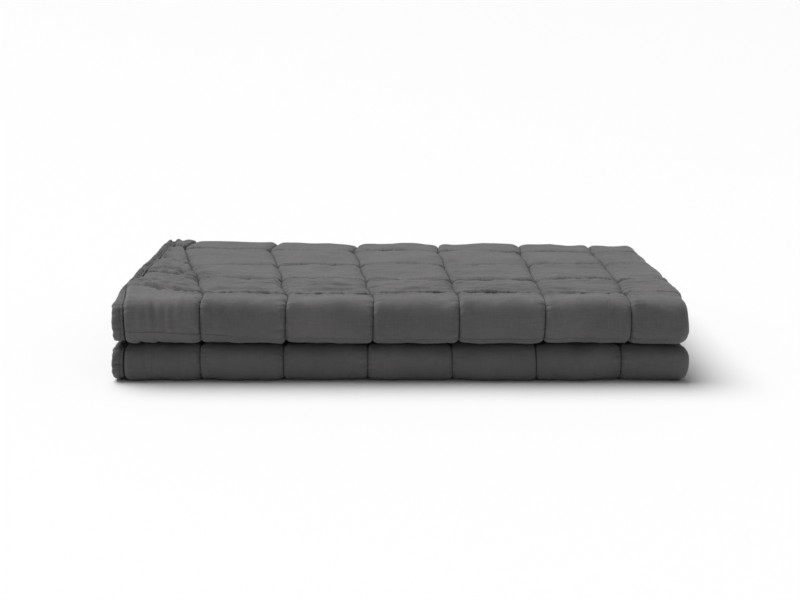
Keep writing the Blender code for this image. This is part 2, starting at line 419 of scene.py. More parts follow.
def linesAcross():
    hem, rawEdge, width = quiltMesh["hem"], quiltMesh["rawEdge"], blanket["width"]
    lines = [rawEdge, hem, blanket["border"]]
    foldColumn = blanket["columns"] // 2
    foldFrom, foldTo = width / 2 + quiltMesh["foldFrom"], width / 2 + quiltMesh["foldTo"]
    for column in range(blanket["columns"]):
        start, end = acrossSeams[column], acrossSeams[column + 1]
        if column < foldColumn:
            lines += shownLines(start, end, "openStep" if column else "leftStep")
        elif column == foldColumn:
            lines += [start + offset for offset in quiltMesh["besideSeam"]]
            lines += evenLines(lines[-1], foldFrom, quiltMesh["openStep"])
            lines += evenLines(foldFrom, foldTo, quiltMesh["foldStep"])
        else:
            lines += evenLines(lines[-1], end, quiltMesh["hiddenStep"])
    return np.array(lines + [width - hem, width - rawEdge])


def linesAlong():
    hem, rawEdge, length = quiltMesh["hem"], quiltMesh["rawEdge"], blanket["length"]
    lines = [rawEdge, hem, blanket["border"]]
    for row in range(blanket["rows"]):
        start, end = alongSeams[row], alongSeams[row + 1]
        if row in hiddenRows:
            lines += evenLines(start, end, quiltMesh["hiddenStep"])
        elif row in underRows:
            lines += evenLines(start, end, quiltMesh["underStep"])
        else:
            lines += shownLines(start, end, quiltMesh["rowSteps"].get(row, "openStep"))
    around, closest = quiltMesh["pressedAround"], quiltMesh["closest"]
    pressed = evenLines(pressedLine["along"] - around, pressedLine["along"] + pressedLine["drift"] + around,
                        quiltMesh["pressedStep"])
    lines = [line for line in lines if not pressed[0] - closest < line < pressed[-1] + closest]
    return np.array(sorted(lines + pressed) + [length - hem, length - rawEdge])


def pocketOf(seams, value):
    index = np.clip(np.searchsorted(seams, value, side="right") - 1, 0, len(seams) - 2)
    return index, value - seams[index], seams[index + 1] - value


# the small shapes on a pocket's face; pairs are the least and the most, or the pitch across and along
faceShapes = {
    "dentPitch": (0.075, 0.065),
    "puckerPitches": (0.0085, 0.012, 0.0175, 0.026),
    "puckerLevel": 2.4,
    "puckerReach": (0.7, 1.3),
    "puckerSize": (0.5, 1.2),
    "puckerLean": (-0.25, 0.25),
    "puckerFade": 1.3,
    "puckerStart": 0.0035,
    "calmest": 0.4,
    "creaseFoot": (0.15, 0.85),
    "creaseTurn": (-0.6, 0.6),
    "creaseLength": (0.02, 0.05),
    "creaseBow": (-3, 3),
    "creaseWiden": (0.7, 1.5),
    "creaseDeepen": (0.5, 1.4),
    "creaseStart": (-0.004, 0.010),
    "warp": 0.006,
    "warpPitch": (0.05, 0.05),
    "topPitch": (0.060, 0.026),
    "frontPitch": (0.034, 0.050),
    "ridge": 0.55,
    "ridgePower": 0.8,
}


def puckerPattern(seed, distance):
    rng = np.random.default_rng(seed)
    total = 0
    for pitch in faceShapes["puckerPitches"]:
        total = total + np.sin(distance / pitch * 2 * math.pi * rng.uniform(0.9, 1.1) + rng.uniform(0, 7))
    return total / faceShapes["puckerLevel"]


def sharpFolds(*run):
    # rounded valleys between narrow ridges
    return faceShapes["ridge"] - np.abs(waves(*run)) ** faceShapes["ridgePower"]


def drawn(rng, name):
    return rng.uniform(*faceShapes[name])


def shortCrease(rng, a, b, width, length):
    # starts at one side of the pocket and runs inwards
    side = rng.integers(4)
    at = drawn(rng, "creaseFoot")
    feet = ((0, at * length), (width, at * length), (at * width, 0), (at * width, length))
    towards = (0, math.pi, math.pi / 2, -math.pi / 2)[side] + drawn(rng, "creaseTurn")
    reach = drawn(rng, "creaseLength")
    da, db = a - feet[side][0], b - feet[side][1]
    run = da * math.cos(towards) + db * math.sin(towards)
    bow = drawn(rng, "creaseBow")
    off = -da * math.sin(towards) + db * math.cos(towards) + bow * run * run
    taper = smooth(run, *faceShapes["creaseStart"]) * (1 - smooth(run, reach * 0.5, reach))
    halfWidth = pockets["creaseWidth"] * drawn(rng, "creaseWiden")
    depth = pockets["creaseDepth"] * drawn(rng, "creaseDeepen")
    return depth * taper * np.exp(-(off / halfWidth) ** 2)


def pocketFace(column, row, a, b, width, length):
    rng = np.random.default_rng(pockets["seed"] + 100 * column + row)
    newSeed = 1 << 30
    face = pockets["dent"] * waves(rng.integers(newSeed), a, b, *faceShapes["dentPitch"])
    calm = pockets["rumpledRow"].get(row, 1)
    calming = mix(faceShapes["calmest"], 1, calm)
    for inward, beside in ((a, b), (width - a, b), (b, a), (length - b, a)):
        reach = pockets["puckerReach"] * drawn(rng, "puckerReach")
        fade = np.exp(-(inward / reach) ** faceShapes["puckerFade"])
        fade = fade * (1 - np.exp(-(inward / faceShapes["puckerStart"]) ** 2))
        size = pockets["pucker"] * drawn(rng, "puckerSize") * calming
        lean = drawn(rng, "puckerLean")
        face = face + size * fade * puckerPattern(rng.integers(newSeed), beside + lean * inward)
    for _ in range(pockets["creasesEach"]):
        face = face - shortCrease(rng, a, b, width, length)
    size, pitches = pockets["crumpleFront"], faceShapes["frontPitch"]
    if row in topRows:
        size = pockets["crumple"] * (1 + pockets["crumpleLeft"] * (column == 0)) * calm
        pitches = faceShapes["topPitch"]
    warp = faceShapes["warp"] * waves(rng.integers(newSeed), a, b, *faceShapes["warpPitch"])
    return face + size * sharpFolds(rng.integers(newSeed), a + warp, b + warp, *pitches)


# a line pressed into the front row when the blanket lay folded the other way
pressedLine = {
    "along": 1.5822,
    "drift": 0.0064,
    "depth": 0.0012,
    "step": 0.0009,  # half width of the step down
    "fade": 0.028,  # and it is lost again over this
    "lostAt": 0.06,
    "uneven": 0.25,
    "unevenPitch": (0.15, 1.0),
    "driftZone": (0.02, 0.25),
    "shade": 0.8,  # painted shadow that darkens the crease itself
    "shadeReach": 0.0013,
}

# main creases, given one by one on the flat blanket: both ends, depth and half width, in millimetres
handCreases = (
    # across, along, to across, to along, depth, width
    # rumpled row behind the front one, at the bound end
    (20, 1502, 113, 1494, 3.6, 4.6),
    (18, 1480, 82, 1471, 3.2, 4.2),
    (60, 1463, 115, 1470, 3.2, 4),
    (20, 1452, 100, 1439, 3.4, 4.6),
    (18, 1427, 76, 1417, 3.2, 4.2),
    (70, 1409, 116, 1420, 3.4, 4.4),
    # the two rows behind it
    (18, 1376, 88, 1350, 3.4, 6),
    (28, 1334, 78, 1326, 2.6, 5),
    (80, 1388, 116, 1338, 3.6, 6),
    (18, 1303, 66, 1296, 2.4, 5.5),
    (18, 1256, 72, 1243, 3.6, 7),
    (85, 1258, 117, 1215, 3.4, 6.5),
    (30, 1205, 80, 1190, 1.6, 9),
    # along the rest of the rumpled row
    (130, 1506, 225, 1499, 2.8, 5),
    (128, 1478, 205, 1488, 2.6, 5),
    (150, 1452, 230, 1444, 2.2, 5.5),
    (250, 1503, 345, 1497, 2.6, 5),
    (262, 1474, 335, 1467, 2.2, 5.5),
    (370, 1500, 462, 1506, 2.8, 5),
    (380, 1470, 440, 1478, 2, 5.5),
    (485, 1497, 580, 1504, 2.6, 5),
    (500, 1471, 560, 1463, 2.2, 6),
    (602, 1499, 695, 1505, 3, 5),
    (640, 1432, 760, 1420, 3, 6),
    (600, 1298, 755, 1312, 3, 6),
    (722, 1372, 775, 1366, 2.4, 6),
    # front row, first pocket
    (44, 1566, 46, 1583, 3.8, 4),
    (55, 1561, 57, 1582, 4.2, 4.2),
    (69, 1565, 66, 1584, 4.4, 4.2),
    (81, 1563, 83, 1584, 4.2, 4.2),
    (98, 1566, 101, 1584, 2.6, 4.6),
    (37, 1588, 39, 1612, 2.6, 3.6),
    (60, 1588, 62, 1612, 2.6, 3.6),
    (88, 1589, 86, 1608, 1.6, 4),
    (34, 1531, 48, 1526, 1.6, 3),
    # and the others
    (120, 1549, 142, 1552, 1.2, 3),
    (152, 1560, 156, 1604, 1, 5),
    (186, 1566, 181, 1606, 1, 4.5),
    (214, 1562, 232, 1556, 1.2, 3.2),
    (266, 1570, 262, 1606, 1, 5),
    (312, 1562, 318, 1604, 0.9, 5.5),
    (354, 1572, 376, 1580, 1.2, 3.4),
    (405, 1560, 400, 1606, 0.9, 5.5),
    (446, 1556, 467, 1550, 1.2, 3.2),
    (505, 1566, 512, 1606, 0.9, 5),
    (556, 1574, 583, 1584, 1.2, 3.6),
    (600, 1560, 622, 1598, 1.4, 5),
    (640, 1544, 655, 1600, 1.2, 5.5),
    (680, 1556, 684, 1596, 1, 5),
    (722, 1545, 760, 1560, 1, 6),
    # lower front row
    (40, 452, 44, 480, 1.4, 3.6),
    (60, 458, 58, 478, 1.2, 3.6),
    (150, 455, 160, 485, 0.9, 5),
    (290, 450, 280, 486, 0.9, 5),
    (420, 456, 428, 484, 0.8, 5),
    (560, 452, 550, 488, 1, 5),
    (640, 450, 662, 486, 1.2, 4.8),
    (690, 458, 672, 482, 1, 4.8),
)

# how each of them runs
creaseShape = {
    "sway": 0.0022,
    "swayPitch": 0.031,
    "swayShift": 9000,
    "ends": (-0.01, 0.018),
    "lip": 0.45,  # the cloth it takes up stands proud beside it
    "lipAt": 1.9,
}


def belowPressedLine(across, along):
    return along - pressedLine["along"] - pressedLine["drift"] * smooth(across, *pressedLine["driftZone"])


def handFolds(across, along):
    total = 0
    sway, swayPitch, swayShift = creaseShape["sway"], creaseShape["swayPitch"], creaseShape["swayShift"]
    for crease in handCreases:
        fromA, fromB, toA, toB, depth, width = (size / 1000 for size in crease)
        length = math.hypot(toA - fromA, toB - fromB)
        ca, cb = (toA - fromA) / length, (toB - fromB) / length
        run = (across - fromA) * ca + (along - fromB) * cb
        off = -(across - fromA) * cb + (along - fromB) * ca
        off = off + sway * np.sin(run / swayPitch + depth * swayShift)
        taper = smooth(run, *creaseShape["ends"]) * smooth(length - run, *creaseShape["ends"])
        lip = creaseShape["lip"] * np.exp(-awayFrom(off, creaseShape["lipAt"] * width, width))
        total = total - depth * taper * (np.exp(-(off / width) ** 2) - lip)
    uneven = pressedLine["uneven"]
    strength = 1 - uneven + uneven * waves(61, across, along, *pressedLine["unevenPitch"])
    below = belowPressedLine(across, along)
    step = smooth(below, -pressedLine["step"], pressedLine["step"])
    step = step * np.exp(-np.clip(below, 0, None) / pressedLine["fade"]) * (below < pressedLine["lostAt"])
    return total - pressedLine["depth"] * strength * step


def easeAt(across, along):
    softFold = ease["softFold"] * smooth(across, *ease["softFoldZone"])
    backFrom, backTo = starts[backBend], starts[backBend + 1]
    middle = mix(backFrom, backTo, ease["backMiddle"])
    reach = (backTo - backFrom) * ease["backReach"]
    back = ease["back"] * np.exp(-((along - middle) / reach) ** ease["backSharpness"])
    leftEnd = ease["leftEnd"] * (1 - smooth(across, *ease["leftEndZone"]))
    return np.maximum(np.maximum(softFold, back), leftEnd)


# 1 on the top of the stack, 0 on its front, back and underside
topZone = {
    "rear": (-0.03, 0.02),  # from the seam at the back of the top
    "front": (-0.002, 0.012),  # and from the seam at the front of it
}


def topness(along):
    rearSeam, frontSeam = alongSeams[topRows[0]], alongSeams[topRows[-1] + 1]
    return smooth(along - rearSeam, *topZone["rear"]) * (1 - smooth(along - frontSeam, *topZone["front"]))


def fullness(across, along):
    # 0 on the stitching, 1 where the pocket is at its full thickness
    column, fromLeft, fromRight = pocketOf(acrossSeams, across)
    row, fromFront, fromBack = pocketOf(alongSeams, along)
    besideAcross = np.clip(np.minimum(fromLeft, fromRight), 0, None)
    besideAlong = np.clip(np.minimum(fromFront, fromBack), 0, None)
    inPad = (along > blanket["border"]) & (along < alongSeams[-1])
    besideAlong = np.where(np.isin(row, hiddenRows) & inPad, 1, besideAlong)
    top = topness(along)
    besideAcross = besideAcross / mix(pockets["edgeRadius"], pockets["topAcrossRadius"], top)
    besideAlong = besideAlong / mix(pockets["edgeRadius"], pockets["topAlongRadius"], top)
    corner = mix(pockets["cornerShare"], pockets["topCornerShare"], top)
    cut = corner - np.hypot(np.clip(corner - besideAcross, 0, None), np.clip(corner - besideAlong, 0, None))
    nearest = np.minimum(besideAcross, besideAlong)
    inset = np.where((besideAcross < corner) & (besideAlong < corner), cut, nearest)
    full = np.sqrt(1 - np.clip(1 - inset, 0, 1) ** 2)
    pillowAcross = 1 - ((fromLeft - fromRight) / (fromLeft + fromRight)) ** 2
    pillowAlong = 1 - ((fromFront - fromBack) / (fromFront + fromBack)) ** 2
    swell = np.sqrt(np.clip(pillowAcross * pillowAlong, 0, 1))
    topPillow = pockets["topPillow"] + pockets["leftPillow"] * (1 - smooth(across, *pockets["leftZone"]))
    pillow = 1 - pockets["pillow"] * (1 - swell) + topPillow * top * swell
    inPad = inPad & (across > blanket["border"]) & (across < acrossSeams[-1])
    hold = np.where(inPad, easeAt(across, along), 0)
    evened = 1 + pockets["topPillow"] / 2 * top
    pillow = mix(pillow, evened, np.minimum(hold * ease["evening"], 1))
    return column, row, mix(full, 1, hold * (besideAcross > besideAlong)), pillow


def seamDistances(across, along):
    _, fromLeft, fromRight = pocketOf(acrossSeams, across)
    _, fromFront, fromBack = pocketOf(alongSeams, along)
    toSide, toEnd = np.minimum(fromLeft, fromRight), np.minimum(fromFront, fromBack)
    return np.stack([toSide, toEnd, np.zeros_like(across)], axis=-1)


def halfThickness(across, along, outer):
    _, _, tier = whereAlong(along - drag(across, along))
    halfLayer = layerAt(tier) / 2
    column, row, full, pillow = fullness(across, along)
    if not outer:
        return mix(pockets["seamHalf"], halfLayer, full), full
    vary = 1 + pockets["fullness"] * waves(3, column, row, *pockets["fullnessPitch"])
    vary = np.minimum(vary, pockets["fullest"])
    half = mix(pockets["seamHalf"], halfLayer * pillow * vary, full)
    extra = np.zeros_like(across)
    for c in shownColumns:
        for r in shownRows:
            here = (column == c) & (row == r)
            if here.any():
                width, length = acrossSeams[c + 1] - acrossSeams[c], alongSeams[r + 1] - alongSeams[r]
                a = np.clip(across[here] - acrossSeams[c], 0, width)
                b = np.clip(along[here] - alongSeams[r], 0, length)
                extra[here] = pocketFace(c, r, a, b, width, length)
    shown = np.isin(column, shownColumns) & np.isin(row, shownRows)
    extra += np.where(shown, handFolds(across, along), 0)
    half = half + extra * np.minimum(full * pockets["shapesFrom"], 1)
    return np.maximum(half, pockets["seamHalf"] * pockets["thinnest"]), full


def wander(across, along):
    # seams drift a little, as sewn by hand on a thick pad
    inside = smooth(across, *pockets["wanderFrom"]) * (1 - smooth(across, *pockets["wanderTo"]))
    return pockets["seamWander"] * waves(23, across, along, *pockets["wanderPitch"]) * inside


def quads(number):
    a, b, c, d = number[:-1, :-1], number[:-1, 1:], number[1:, 1:], number[1:, :-1]
    return np.stack([a, b, c, d], axis=-1).reshape(-1, 4)


def everyThird(count):
    picks = list(range(0, count, quiltMesh["innerEvery"]))
    return picks if picks[-1] == count - 1 else picks + [count - 1]


def closedGrid(name, outer, inner, **marks):
    # the outer face is fine, the inner one keeps every third line, and many-sided faces close the rim
    rows, columns = outer.shape[:2]
    fine = np.arange(rows * columns).reshape(rows, columns)
    rowPicks, columnPicks = everyThird(rows), everyThird(columns)
    coarse = rows * columns + np.arange(len(rowPicks) * len(columnPicks)).reshape(len(rowPicks), -1)
    faces = quads(fine).tolist() + quads(coarse)[:, ::-1].tolist()
    rims = ((columnPicks, fine[0], coarse[0], -1), (columnPicks, fine[-1], coarse[-1], 1),
            (rowPicks, fine[:, 0], coarse[:, 0], 1), (rowPicks, fine[:, -1], coarse[:, -1], -1))
    for picks, fineLine, coarseLine, turn in rims:
        for k in range(len(picks) - 1):
            face = fineLine[picks[k]:picks[k + 1] + 1].tolist()
            face += [int(coarseLine[k + 1]), int(coarseLine[k])]
            faces.append(face[::turn])
    grid = np.ix_(rowPicks, columnPicks)
    points = np.concatenate([outer.reshape(-1, 3), inner[grid].reshape(-1, 3)])
    piece = meshPiece(name, points.tolist(), faces)
    for mark, values in marks.items():
        shape = (-1, 3) if values.ndim == 3 else (-1,)
        setAttribute(piece, mark, np.concatenate([values.reshape(shape), values[grid].reshape(shape)]))
    return piece


def meshPiece(name, points, faces):
    mesh = bpy.data.meshes.new(name)
    mesh.from_pydata(points, [], faces)
    mesh.update()
    mesh.shade_smooth()
    piece = bpy.data.objects.new(name, mesh)
    bpy.context.scene.collection.objects.link(piece)
    return piece


def triangleCount(piece):
    return sum(len(face.vertices) - 2 for face in piece.data.polygons)


def setAttribute(piece, name, values):
    kind = "FLOAT" if values.ndim == 1 else "FLOAT_VECTOR"
    layer = piece.data.attributes.new(name, kind, "POINT")
    layer.data.foreach_set("value" if kind == "FLOAT" else "vector", values.ravel().astype(np.float32))


def faceOut(piece):
    # turn the faces outwards if the solid came out inside out
    bm = bmesh.new()
    bm.from_mesh(piece.data)
    if bm.calc_volume(signed=True) < 0:
        bmesh.ops.reverse_faces(bm, faces=bm.faces)
        bm.to_mesh(piece.data)
    bm.free()


def makeQuilt():
    across, along = np.meshgrid(linesAcross(), linesAlong())
    sewn = across + wander(across, along)
    outerHalf, full = halfThickness(across, along, True)
    innerHalf, _ = halfThickness(across, along, False)
    dip = dipAt(across, along) * (1 - full)
    flat = np.stack([across, along, np.zeros_like(across)], axis=-1)
    pressed = np.exp(-(belowPressedLine(across, along) / pressedLine["shadeReach"]) ** 2)
    full = full * (1 - pressedLine["shade"] * pressed)  # only painted shadow along the crease, through the seam shade's mask: the shape is made already
    outer = place(sewn, along, outerHalf - dip)
    outer[..., 2] = np.maximum(outer[..., 2], 0)
    quilt = closedGrid("quilted_blanket", outer, place(sewn, along, -innerHalf - dip),
                       flat=flat, full=full, seams=seamDistances(across, along))
    faceOut(quilt)
    print("quilt:", triangleCount(quilt), "triangles")
    return quilt


# the strip over the raw edge
binding = {
    "width": 0.0132,
    "stationStep": 0.0021,
    "hiddenStep": 0.02,
    "beyondBend": 0.02,  # fine stations run this far past the bends they show between
    "cornerShare": 1.15,
    "pucker": 0.0014,
    "topPucker": 0.0028,
    "crimpPitch": (0.0075, 0.03),
    "crimpLean": 0.5,
    "broadPitch": (0.03, 0.02),
    "broadShare": 0.4,
    "edgeWave": 0.0007,
    # share of the width from the outer edge, half thickness: a ridge, the stitched groove, then the roll
    "section": ((1.0, 0.0016), (0.97, 0.0027), (0.90, 0.0032), (0.83, 0.0027), (0.78, 0.0016),
                (0.72, 0.0028), (0.55, 0.0041), (0.3, 0.0042), (0.1, 0.0028), (0.0, 0.0)),
    "gripGap": 0.0003,
    "edgeGap": 0.0004,
    "seamAt": 0.001,  # as if a seam ran this close, so gathers show all over the strip
}


def bindingStations():
    width, length = blanket["width"], blanket["length"]
    b = binding["width"] * binding["cornerShare"]
    step, beyond = binding["hiddenStep"], binding["beyondBend"]
    ends = np.arange(b, width - b, step)
    hiddenLower = np.arange(b, starts[1] - beyond, step)
    shown = np.arange(starts[1] - beyond, starts[-2] + beyond, binding["stationStep"])
    hiddenUpper = np.arange(starts[-2] + beyond + step / 2, length - b, step)
    side = np.concatenate([hiddenLower, shown, hiddenUpper])
    left = [(0, v, 1, 0) for v in side] + [(0, length, 1, -1)]
    far = [(u, length, 0, -1) for u in ends] + [(width, length, -1, -1)]
    right = [(width, v, -1, 0) for v in side[::-1]] + [(width, 0, -1, 1)]
    near = [(u, 0, 0, 1) for u in ends[::-1]] + [(0, 0, 1, 1)]
    return np.array(left + far + right + near, dtype=float)


def crimpOf(beside, inward):
    crimp = sharpFolds(77, beside + binding["crimpLean"] * inward, inward, *binding["crimpPitch"])
    return crimp + binding["broadShare"] * waves(78, beside, inward, *binding["broadPitch"])


def makeBinding():
    stations = bindingStations()
    upper = [(s * binding["width"], h) for s, h in binding["section"]]
    lower = [(s, -h) for s, h in upper[-2::-1]]
    grip = pockets["seamHalf"] + binding["gripGap"]
    slotEnd = quiltMesh["rawEdge"] - binding["edgeGap"]
    slot = [(binding["width"], -grip), (slotEnd, -grip), (slotEnd, grip), (binding["width"], grip)]
    profile = np.array(upper + lower + slot)
    inward = profile[None, :, 0]
    height = np.repeat(profile[None, :, 1], len(stations), axis=0)
    beside = (stations[:, 0] + stations[:, 1])[:, None]
    swell = 1 - np.abs(2 * inward / binding["width"] - 1) ** 2
    outside = np.arange(len(profile)) < len(upper) + len(lower)
    pucker = mix(binding["pucker"], binding["topPucker"], topness(stations[:, 1:2]))
    height = height + outside * np.sign(height) * pucker * crimpOf(beside, inward) * swell
    edgeWave = outside * (1 - inward / binding["width"]) * binding["edgeWave"] * puckerPattern(79, beside)
    across = stations[:, 0:1] + stations[:, 2:3] * (inward + edgeWave)
    along = stations[:, 1:2] + stations[:, 3:4] * (inward + edgeWave)
    points = place(across, along, height).reshape(-1, 3)
    points[:, 2] = np.maximum(points[:, 2], 0)
    count, ring = len(stations), len(profile)
    i = np.arange(count)[:, None] * ring + np.arange(ring)[None, :]
    j = np.roll(i, -1, axis=0)
    faces = np.stack([i, np.roll(i, -1, axis=1), np.roll(j, -1, axis=1), j], axis=-1).reshape(-1, 4)
    strip = meshPiece("edge_binding_strip", points.tolist(), faces.tolist())
    flat = np.stack([across, along, np.zeros_like(across)], axis=-1)
    setAttribute(strip, "flat", flat.reshape(-1, 3))
    setAttribute(strip, "full", np.ones(len(points)))
    setAttribute(strip, "seams", np.tile([binding["seamAt"], 1.0, 0.0], (len(points), 1)))
    faceOut(strip)
    print("binding:", triangleCount(strip), "triangles")
    return strip


# sewing thread
thread = {
    "length": 0.0026,
    "pitch": 0.0036,
    "radius": 0.00032,
    "crown": 1.3,  # how far it stands up, in radii
    "body": 0.7,  # share of the length before it turns down into the cloth
    "proud": 0.0001,  # above the seam
    "seamsAcross": slice(1, 7),  # those that show
    "seamsAlong": slice(4, 13),
    "beyondBend": 0.01,
    "besideBinding": 0.016,
    "foldEdge": 0.79,
    "edgePitch": 0.0034,
    "edgeRows": (0.0004, 0.0029),  # from the binding's inner edge outwards
    "edgeProud": 0.0002,
    "probe": 0.0008,  # steps that read how the cloth lies around a stitch
    "probeUp": 0.001,
}


def stitchPiece(name, rows):
    middles, ends, lift = [np.concatenate(part) for part in zip(*rows)]
    direction = ends - middles
    direction /= np.linalg.norm(direction, axis=-1, keepdims=True)
    side = np.cross(direction, lift)
    side /= np.linalg.norm(side, axis=-1, keepdims=True)
    half, body = thread["length"] / 2, thread["body"]
    aside, up = side * thread["radius"], lift * thread["radius"]
    rings = []
    for share in (-1, -body, body, 1):
        centre = middles + direction * half * share
        if abs(share) == 1:
            rings.append((centre - up)[:, None])
        else:
            corners = [centre + aside, centre + up * thread["crown"], centre - aside, centre - up]
            rings.append(np.stack(corners, axis=1))
    points = np.concatenate(rings, axis=1)
    faces = []
    for k in range(4):
        n = (k + 1) % 4
        faces += [(0, 1 + n, 1 + k), (1 + k, 1 + n, 5 + n), (1 + k, 5 + n, 5 + k), (5 + k, 5 + n, 9)]
    corners = points.shape[1] * np.arange(len(middles))
    faces = (np.array(faces)[None] + corners[:, None, None]).reshape(-1, 3)
    print(name.replace("_", " ") + ":", len(middles))
    return meshPiece(name, points.reshape(-1, 3).tolist(), faces.tolist())


def sewnAt(across, along, height):
    return place(across + wander(across, along), along, height)


def stitchRow(across, along, lengthwise, height):
    height = height - dipAt(across, along)
    middle = sewnAt(across, along, height)
    a = sewnAt(across + thread["probe"], along, height) - middle
    b = sewnAt(across, along + thread["probe"], height) - middle
    lift = np.cross(a, b)
    lift /= np.linalg.norm(lift, axis=-1, keepdims=True)
    outward = sewnAt(across, along, height + thread["probeUp"]) - middle
    lift = lift * np.sign((lift * outward).sum(-1, keepdims=True))
    return middle, middle + (b if lengthwise else a), lift


def shownLength(pitch):
    return np.arange(starts[1] - thread["beyondBend"], starts[-2] + thread["beyondBend"], pitch)


def makeSeamStitches():
    height = pockets["seamHalf"] + thread["proud"]
    along = shownLength(thread["pitch"])
    across = np.arange(thread["besideBinding"], thread["foldEdge"], thread["pitch"])
    rows = [stitchRow(np.full_like(along, seam), along, True, height)
            for seam in acrossSeams[thread["seamsAcross"]]]
    rows += [stitchRow(across, np.full_like(across, seam), False, height)
             for seam in alongSeams[thread["seamsAlong"]]]
    return stitchPiece("pocket_stitches", rows)


def makeEdgeStitches():
    rows = []
    along = shownLength(thread["edgePitch"])
    shares, heights = zip(*binding["section"][::-1])
    for inset in thread["edgeRows"]:
        inward = binding["width"] - inset
        height = np.interp(inward / binding["width"], shares, heights) + thread["edgeProud"]
        for edge, sign in ((0, 1), (blanket["width"], -1)):
            rows.append(stitchRow(np.full_like(along, edge + sign * inward), along, True, height))
    return stitchPiece("edge_stitches", rows)


# cloth finish
shell = {
    "dark": (0.099, 0.095, 0.097, 1),
    "light": (0.143, 0.137, 0.140, 1),
    "slub": 0.10,
    "seamShade": 0.32,  # how dark the painted shade in the stitched grooves gets
    "roughness": 0.86,
    "roughnessSpread": 0.07,
    "sheen": 0.25,
    "sheenRoughness": 0.45,
    "specular": 0.25,
    "weavePitch": 0.0007,
    "weaveBump": 0.10,
    "rumple": 0.5,
    "gather": 0.8,
    "gatherReach": 0.022,
}

edging = dict(shell, dark=(0.094, 0.091, 0.093, 1), light=(0.134, 0.129, 0.132, 1), rumple=0.7, gather=1.0)

sewing = dict(shell, dark=(0.045, 0.043, 0.044, 1), light=(0.075, 0.072, 0.073, 1), weavePitch=0.0003)

# noises are given by scale, detail and roughness, the drawn-out ones by how many to a metre each way
grain = {
    "patch": (9.0, 5.0, 0.6),
    "fibre": (900.0, 3.0, 0.7),
    "fibreShare": 0.5,
    "darkestAt": 0.45,
    "seamShadeTo": 0.58,  # where the painted shade beside the stitching ends, as a share of the pocket's rise
    "slubs": ((55, 620, 1), (620, 55, 1)),
    "slubNoise": (1.0, 3.0, 0.65),
    "slubRange": (0.7, 1.3),
    "waveScale": 0.314,  # the wave's scale for yarns a metre apart
    "weaveDistortion": 0.6,
    "weaveHeight": 0.0003,
    "rumple": (42.0, 6.0, 0.62),
    "rumpleDistortion": 0.8,
    "rumpleHeight": 0.004,
    "gathers": (("X", (34, 230, 1)), ("Y", (230, 34, 1))),
    "gatherNoise": (1.0, 2.0, 0.5),
    "gatherFrom": 0.001,
    "gatherHeight": 0.004,
}


class Nodes:
    def __init__(self, name):
        self.material = bpy.data.materials.new(name)
        self.material.use_nodes = True
        self.tree = self.material.node_tree
        self.shader = self.tree.nodes["Principled BSDF"]

    def add(self, kind, **settings):
        node = self.tree.nodes.new(kind)
        for key, value in settings.items():
            if hasattr(node, key):
                setattr(node, key, value)
            else:
                node.inputs[key].default_value = value
        return node

    def join(self, source, target, name):
        self.tree.links.new(source, target.inputs[name])

    def mark(self, name, output):
        return self.add("ShaderNodeAttribute", attribute_name=name).outputs[output]

    def noise(self, at, scale, detail, roughness, **settings):
        node = self.add("ShaderNodeTexNoise", Scale=scale, Detail=detail, Roughness=roughness, **settings)
        self.join(at, node, "Vector")
        return node.outputs["Fac"]

    def drawnOut(self, at, stretch, scale, detail, roughness):
        scaled = self.add("ShaderNodeVectorMath", operation="MULTIPLY")
        self.join(at, scaled, 0)
        scaled.inputs[1].default_value = stretch
        return self.noise(scaled.outputs["Vector"], scale, detail, roughness)

    def math(self, operation, first, second):
        node = self.add("ShaderNodeMath", operation=operation)
        self.join(first, node, 0)
        self.join(second, node, 1)
        return node.outputs[0]

    def mapRange(self, source, *limits, **settings):
        node = self.add("ShaderNodeMapRange", **settings)
        for name, value in zip(("From Min", "From Max", "To Min", "To Max"), limits):
            node.inputs[name].default_value = value
        self.join(source, node, "Value")
        return node.outputs["Result"]

    def bump(self, height, strength, distance, under=None):
        node = self.add("ShaderNodeBump", Strength=strength, Distance=distance)
        self.join(height, node, "Height")
        if under:
            self.join(under, node, "Normal")
        return node.outputs["Normal"]


